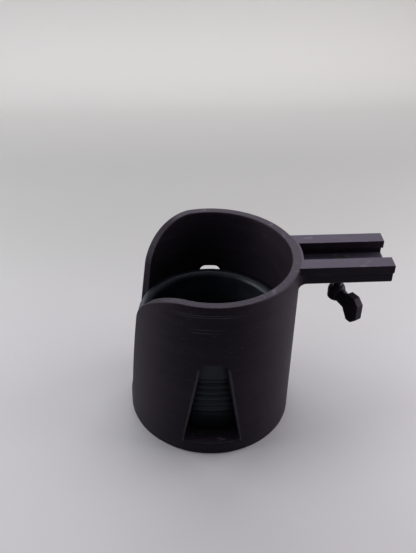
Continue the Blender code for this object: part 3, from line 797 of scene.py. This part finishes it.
# %% [markdown]
# ## Writing finishes as sums
# A material is a graph of nodes, and most of a graph is arithmetic. Here a socket is wrapped so
# that Python's own operators add the Math nodes, and every other node comes from one method that
# takes its type, its settings and its sockets. A finish then reads like the formula it is.

# %% A socket that can be added and multiplied
class Signal:
    """One output socket. Sums with numbers or other signals add a Math node each."""

    def __init__(self, look, socket):
        self.look, self.socket = look, socket

    def maths(self, operation, *others):
        return self.look.node("ShaderNodeMath", {"operation": operation}, dict(enumerate((self, *others))))

    def __add__(self, other):
        return self.maths("ADD", other)

    __radd__ = __add__

    def __sub__(self, other):
        return self.maths("SUBTRACT", other)

    def __rsub__(self, other):
        return (self * -1.0) + other

    def __mul__(self, other):
        return self.maths("MULTIPLY", other)

    __rmul__ = __mul__

    def __truediv__(self, other):
        return self.maths("DIVIDE", other)


class Look:
    """A material with a Principled shader, and the nodes that feed it."""

    def __init__(self, name, roughness, **constants):
        self.material = bpy.data.materials.new(name)
        self.material.use_nodes = True
        self.nodes, self.links = self.material.node_tree.nodes, self.material.node_tree.links
        self.nodes.clear()
        self.shader = self.nodes.new("ShaderNodeBsdfPrincipled")
        out = self.nodes.new("ShaderNodeOutputMaterial")
        self.links.new(self.shader.outputs[0], out.inputs[0])
        self.shader.inputs["Roughness"].default_value = roughness
        for socket, value in constants.items():
            self.shader.inputs[socket.replace("_", " ")].default_value = value
        self.object_place = self.node("ShaderNodeTexCoord", output="Object")

    def put(self, socket, value):
        if isinstance(value, Signal):
            self.links.new(value.socket, socket)
        else:
            socket.default_value = value

    def node(self, kind, settings=None, sockets=None, output=0):
        """A node of this kind: its settings are set first, then its sockets."""
        made = self.nodes.new(kind)
        for key, value in (settings or {}).items():
            setattr(made, key, value)
        for key, value in (sockets or {}).items():
            self.put(made.inputs[key], value)
        return Signal(self, made.outputs[output])

    def axes(self, place=None):
        """x, y and z of a place as three signals."""
        split = self.node("ShaderNodeSeparateXYZ", sockets={0: place or self.object_place})
        return [Signal(self, split.socket.node.outputs[part]) for part in (0, 1, 2)]

    def noise(self, size, detail=3.0, stretch=(1.0, 1.0, 1.0), shift=(0.0, 0.0, 0.0)):
        """Noise between 0 and 1 whose blotches are size metres across, stretched along axes."""
        scale = tuple(1.0 / (size * along) for along in stretch)
        place = {"Vector": self.object_place, "Scale": scale, "Location": shift}
        mapped = self.node("ShaderNodeMapping", sockets=place)
        return self.node("ShaderNodeTexNoise", sockets={"Vector": mapped, "Scale": 1.0, "Detail": detail})

    def between(self, value, start, end):
        """A smooth step: 0 at start and 1 at end, either way round."""
        low, high = min(start, end), max(start, end)
        smooth = {"interpolation_type": "SMOOTHSTEP"}
        step = self.node("ShaderNodeMapRange", smooth, {0: value, 1: low, 2: high})
        return step if start < end else 1.0 - step

    def mixed(self, share, first, second):
        """One colour fading into another by share."""
        ends = [(*end, 1.0) if isinstance(end, tuple) else end for end in (first, second)]
        sockets = {0: share, 6: ends[0], 7: ends[1]}
        return self.node("ShaderNodeMix", {"data_type": "RGBA"}, sockets, output=2)

    def relief(self, height, strength=1.0):
        """Feeds a height in millimetres to the shader's normal."""
        bump = self.node("ShaderNodeBump", sockets={"Height": height, "Distance": MM, "Strength": strength})
        self.put(self.shader.inputs["Normal"], bump)

    def paint(self, *pieces):
        for piece in pieces:
            piece.data.materials.clear()
            piece.data.materials.append(self.material)


# %% [markdown]
# ## Printed filament
# The print is laid down in level layers a fifth of a millimetre high, so upright faces carry fine
# level ridges, and level faces show the nozzle's tracks: rings on the rim and straight lines on the
# arm. Layers differ a little in shade, and the seam where each layer starts makes one upright line.
# The plastic has faint pale rubs and, along the arm's top, pale streaks. Level faces carry a painted
# highlight, lightest on the arm's top, and the raised layers and the windows' outer edges carry
# painted highlights too. The lines are computed from the place in the model, so they
# run true through every piece.

# %% Filament
LAYER = 0.2 * MM
TRACK = 0.42 * MM
FULL_TURN = 2 * math.pi


def painted_ridge_highlights(look, turn, z):
    """A painted highlight on the same few raised layers as in the wall, where they stand out, fading at
    their ends.
    """
    found = 0.0
    for drop, middle, half, _ in RIDGES:
        height = (SLEEVE_HEIGHT - EDGE - drop) * MM
        near = look.between((z - height).maths("ABSOLUTE"), 0.28 * MM, 0.06 * MM)
        aside = (turn - math.radians(middle)).maths("ABSOLUTE")
        along = look.between(aside, math.radians(half), math.radians(half * 0.3))
        found = near * along + found
    return found


def painted_window_edge_highlights(look, turn, z, radius):
    """A painted highlight along the leaning outer edges of both windows, where the rounded edges catch
    light.
    """
    low, high = FLOOR_TOP * MM, WINDOW_TOP * MM
    half = WINDOW_FOOT * MM - (z - low) * math.tan(WINDOW_LEAN)
    along = look.between(z, low - MM, low + MM) * look.between(z, high - 2 * MM, high - 6 * MM)
    outer = look.between(radius, (SLEEVE_RADIUS - 1.0) * MM, (SLEEVE_RADIUS - 0.5) * MM)
    found = 0.0
    for middle in WINDOW_TURNS:
        aside = (turn - middle).maths("ABSOLUTE") * (SLEEVE_RADIUS * MM)
        found = look.between((aside - half).maths("ABSOLUTE"), 0.95 * MM, 0.25 * MM) + found
    return found * along * outer


def filament(name, ringed):
    """Printed plastic. With ringed, it has the marks that only the body has, round the sleeve."""
    look = Look(name, 0.5, Specular_IOR_Level=0.14, Specular_Tint=(0.93, 0.80, 1.0, 1.0))
    x, y, z = look.axes()
    facing = look.axes(look.node("ShaderNodeNewGeometry", output="Normal"))[2]
    level = look.between(facing.maths("ABSOLUTE"), 0.86, 0.97)
    layers = (z * (FULL_TURN / LAYER)).maths("SINE") * 0.5 + 0.5
    radius = (x * x + y * y).maths("SQRT")
    straight = ((x + y) * (FULL_TURN / (TRACK * 1.414))).maths("SINE") * 0.5 + 0.5
    if ringed:
        rings = (radius * (FULL_TURN / TRACK)).maths("SINE") * 0.5 + 0.5
        outside = look.between(radius, (SLEEVE_RADIUS - 0.1) * MM, (SLEEVE_RADIUS + 0.1) * MM)
        tracks = rings * (1.0 - outside) + straight * outside
        on_arm = outside
        turn = y.maths("ARCTAN2", x)
        seam = look.between((turn - math.radians(137.0)).maths("ABSOLUTE"), 0.012, 0.004)
    else:
        tracks, seam, on_arm = straight, 0.0, 0.0
    bands = look.noise(0.9 * MM, 2.0, (60.0, 60.0, 1.0))
    broad = look.noise(9.0 * MM, 3.0, (3.0, 3.0, 1.0), (7.0, 1.0, 3.0))
    grain = look.noise(0.35 * MM, 3.0)
    rubs = look.noise(2.4 * MM, 5.0, (1.8, 1.2, 0.5), (3.0, 5.0, 2.0))
    rubbed = look.between(rubs, 0.60, 0.72) * (level * 0.8 + 0.2)
    streaks = look.noise(0.55 * MM, 2.0, (45.0, 1.0, 20.0), (2.0, 9.0, 4.0)) * on_arm * level
    blotches = look.between(bands * 0.6 + broad * 0.4, 0.32, 0.68)
    shade = look.mixed(blotches, (0.0084, 0.0067, 0.0095), (0.0142, 0.0115, 0.0159))
    # Painted highlight: faces that look up get a lighter colour, lightest on the arm's top.
    painted_top_highlight = look.mixed(on_arm, (0.026, 0.0225, 0.031), (0.066, 0.058, 0.080))
    shade = look.mixed(level * 0.75, shade, painted_top_highlight)
    shade = look.mixed(streaks * 0.5, shade, (0.035, 0.031, 0.045))
    shade = look.mixed(rubbed * 0.42, shade, (0.13, 0.122, 0.15))
    if ringed:
        # Painted highlight on the raised layers, where they catch light from above.
        shade = look.mixed(painted_ridge_highlights(look, turn, z) * 0.42, shade, (0.10, 0.092, 0.115))
        # Painted highlight along the windows' outer edges.
        shade = look.mixed(painted_window_edge_highlights(look, turn, z, radius) * 0.45, shade, (0.070, 0.061, 0.080))
    look.put(look.shader.inputs["Base Color"], shade)
    rough = 0.42 + bands * 0.08 + broad * 0.10 + rubbed * 0.10 + streaks * 0.10 - level * 0.03
    look.put(look.shader.inputs["Roughness"], rough)
    height = layers * (1.0 - level) * 0.018 + tracks * level * 0.012
    height = height + grain * 0.012 + bands * 0.024 + streaks * 0.03
    look.relief(height + seam * grain * 0.12 if ringed else height)
    return look


filament("filament_of_the_body", True).paint(print_body)
filament("filament_of_the_lever", False).paint(lever)

# %% [markdown]
# ## Rubber, steel and nylon
# Soft rubber is dark and matt, with a bloom that lies unevenly on it, and shade is painted into the
# grooves between its ribs and towards its foot. The screw and nut are black oxide steel: metal under
# a thin dark film that has worn brighter on the thread's crests. The pad is moulded nylon, smoother
# than the print, with the faint orange peel of its mould.

# %% The other finishes
rubber = Look("blue_black_rubber", 0.6, Specular_IOR_Level=0.38, Specular_Tint=(0.86, 0.93, 1.0, 1.0))
bloom = rubber.noise(14 * MM, 5.0, (1.0, 1.0, 0.6))
fine = rubber.noise(0.5 * MM, 3.0)
x, y, z = rubber.axes()
rib_place = (TOP_RIB * MM - z) / (RIB_PITCH * MM)
crests = (rib_place * FULL_TURN).maths("COSINE") * 0.5 + 0.5
below_collar = rubber.between(rib_place, -0.55, -0.45)
ribbed = below_collar * rubber.between(rib_place, RIB_COUNT - 0.4, RIB_COUNT - 0.6)
outside = rubber.between((x * x + y * y).maths("SQRT"), (collar[0] - 3.4) * MM, (collar[0] - 3.0) * MM)
# Painted shade: the grooves between the ribs are darkened, as if shade falls in them.
painted_groove_shade = (1.0 - crests) * ribbed * outside
bloomed = rubber.mixed(rubber.between(bloom, 0.35, 0.7), (0.0095, 0.0112, 0.0160), (0.0185, 0.0218, 0.0290))
# Painted shadow: the liner darkens towards its foot, low in the sleeve where little light reaches.
painted_foot_shadow = rubber.between(z, 27 * MM, 15 * MM) * 0.75
grooved = rubber.mixed(painted_groove_shade * 0.9, bloomed, (0.0015, 0.0018, 0.0025))
rubber_shade = rubber.mixed(painted_foot_shadow, grooved, (0.0020, 0.0023, 0.0032))
rubber.put(rubber.shader.inputs["Base Color"], rubber_shade)
rubber.put(rubber.shader.inputs["Roughness"], 0.36 + bloom * 0.16)
rubber.relief(fine * 0.02 + bloom * 0.05)
rubber.paint(liner)

steel = Look("black_oxide_steel", 0.4, Metallic=1.0)
x, y, z = steel.axes()
from_axis = ((x - SCREW_X * MM) * (x - SCREW_X * MM) + y * y).maths("SQRT")
crest = steel.between(from_axis, (SCREW_RADIUS - 0.12) * MM, (SCREW_RADIUS - 0.01) * MM)
film = steel.noise(1.6 * MM, 4.0)
oxide = steel.mixed(steel.between(film, 0.3, 0.7), (0.028, 0.028, 0.032), (0.055, 0.056, 0.062))
steel.put(steel.shader.inputs["Base Color"], steel.mixed(crest * film * 0.8, oxide, (0.22, 0.22, 0.23)))
steel.put(steel.shader.inputs["Roughness"], 0.30 + film * 0.22)
steel.relief(steel.noise(0.25 * MM, 3.0) * 0.008)
steel.paint(screw, nut)

nylon = Look("black_nylon", 0.5, Specular_IOR_Level=0.25)
cloud = nylon.noise(3.0 * MM, 4.0)
nylon_shade = nylon.mixed(cloud, (0.008, 0.008, 0.009), (0.013, 0.013, 0.014))
nylon.put(nylon.shader.inputs["Base Color"], nylon_shade)
nylon.put(nylon.shader.inputs["Roughness"], 0.38 + cloud * 0.2)
nylon.relief(nylon.noise(0.3 * MM, 3.0) * 0.015 + cloud * 0.03)
nylon.paint(pad)

# %% [markdown]
# ## Floor, light and camera
# The holder stands on a pale sweep: one surface, level below and curving up behind, so no corner
# shows. Shade is painted on it behind the holder, where the back light falls strongest, and it is
# painted lighter up the wall. Four soft panels that the camera doesn't see are the light from above,
# from behind and from both sides. Behind the camera there is only the dim room, so the front of the
# sleeve falls into shade. The camera is placed by four angles: how far it is carried round the
# holder, how steeply it looks down, how far it turns aside and how it rolls.

# %% The sweep
SWEEP_HALF = 3000.0
BEND_RADIUS = 120.0
BEND_START = 420.0
WALL_TOP = 900.0
UNDER_BASE = 0.05
sweep_arc, _ = arc((BEND_START, BEND_RADIUS), BEND_RADIUS, -90.0, 0.0, 24)
level_y = np.linspace(-2900.0, 400.0, 34)
level_line = np.stack([level_y, np.zeros_like(level_y)], axis=-1)
wall_end = (BEND_START + BEND_RADIUS, WALL_TOP)
sweep_line = np.concatenate([[(-SWEEP_HALF, 0.0)], level_line, sweep_arc, [wall_end]])
sides = np.linspace(-SWEEP_HALF, SWEEP_HALF, 13)
sweep_y, sweep_z = sweep_line.T[:, :, None]
sweep_points = np.stack(np.broadcast_arrays(sides[None, :], sweep_y, sweep_z - UNDER_BASE), axis=-1)
sweep = Shell("pale_sweep").grid(sweep_points, ring=False).build()
sweep.data.shade_smooth()
paper = Look("pale_paper", 0.75)
tone = paper.noise(220 * MM, 3.0)
# Painted shade and light: darker paper behind the holder, where the back light falls strongest, and lighter
# paper up the wall.
back_shade_share = paper.between(paper.axes()[1], -0.08, 0.24)
wall_light_share = paper.between(paper.axes()[1], 0.28, 0.52)
near_paper = paper.mixed(tone, (0.275, 0.271, 0.287), (0.300, 0.296, 0.309))
shaded_paper = paper.mixed(back_shade_share, near_paper, (0.212, 0.212, 0.210))
paper.put(paper.shader.inputs["Base Color"], paper.mixed(wall_light_share, shaded_paper, (0.335, 0.331, 0.326)))
paper.paint(sweep)


# %% Lights
def panel(name, place, aim, size, power, colour):
    """A rectangular soft light at a place, turned to face a point. The camera doesn't see it."""
    light = bpy.data.lights.new(name, "AREA")
    light.shape, light.size, light.size_y = "RECTANGLE", size[0], size[1]
    light.energy, light.color = power, colour
    made = bpy.data.objects.new(name, light)
    made.location = place
    made.rotation_euler = (Vector(aim) - Vector(place)).to_track_quat("-Z", "Y").to_euler()
    made.visible_camera = False
    bpy.context.scene.collection.objects.link(made)


panel("overhead", (0.0, 0.16, 0.62), (0.0, 0.02, 0.05), (0.50, 0.34), 1.5, (1.0, 0.985, 0.97))
panel("back_wall", (0.0, 0.50, 0.42), (0.0, 0.0, 0.09), (0.8, 0.24), 3.0, (1.0, 0.985, 1.0))
panel("right_wall", (0.50, 0.02, 0.20), (0.0, 0.0, 0.06), (0.5, 0.36), 4.2, (1.0, 0.96, 0.97))
panel("left_wall", (-0.50, 0.06, 0.22), (0.0, 0.0, 0.06), (0.5, 0.36), 3.7, (0.99, 0.985, 1.0))

world = bpy.data.worlds.new("dim_room")
bpy.context.scene.world = world
world.use_nodes = True
world.node_tree.nodes["Background"].inputs["Color"].default_value = (0.95, 0.96, 1.0, 1.0)
world.node_tree.nodes["Background"].inputs["Strength"].default_value = 0.35

# %% Camera
ORBIT, PITCH_DOWN, HEAD, ROLL = (math.radians(angle) for angle in (5.68, 36.29, -0.44, 1.40))
EYE = (0.0, -0.3478, 0.3471)
LENS, SENSOR = 50.4, 36.0
level_share = math.cos(PITCH_DOWN)
forward = Vector((math.sin(HEAD) * level_share, math.cos(HEAD) * level_share, -math.sin(PITCH_DOWN)))
right = Vector((math.cos(HEAD), -math.sin(HEAD), 0.0))
up = right.cross(forward)
tilted_right = right * math.cos(ROLL) + up * math.sin(ROLL)
tilted_up = up * math.cos(ROLL) - right * math.sin(ROLL)
facing = Matrix([*zip(tilted_right, tilted_up, -forward, EYE), (0.0, 0.0, 0.0, 1.0)])
camera = bpy.data.objects.new("camera", bpy.data.cameras.new("camera"))
camera.data.sensor_fit = "VERTICAL"
camera.data.sensor_height = SENSOR
camera.data.lens = LENS
camera.data.clip_start = 0.01
camera.matrix_world = Matrix.Rotation(-ORBIT, 4, "Z") @ facing
bpy.context.scene.collection.objects.link(camera)
bpy.context.scene.camera = camera
bpy.context.scene.view_settings.view_transform = "Standard"
bpy.context.scene.view_settings.look = "Medium High Contrast"
print("camera at", [round(value, 4) for value in camera.matrix_world.translation])
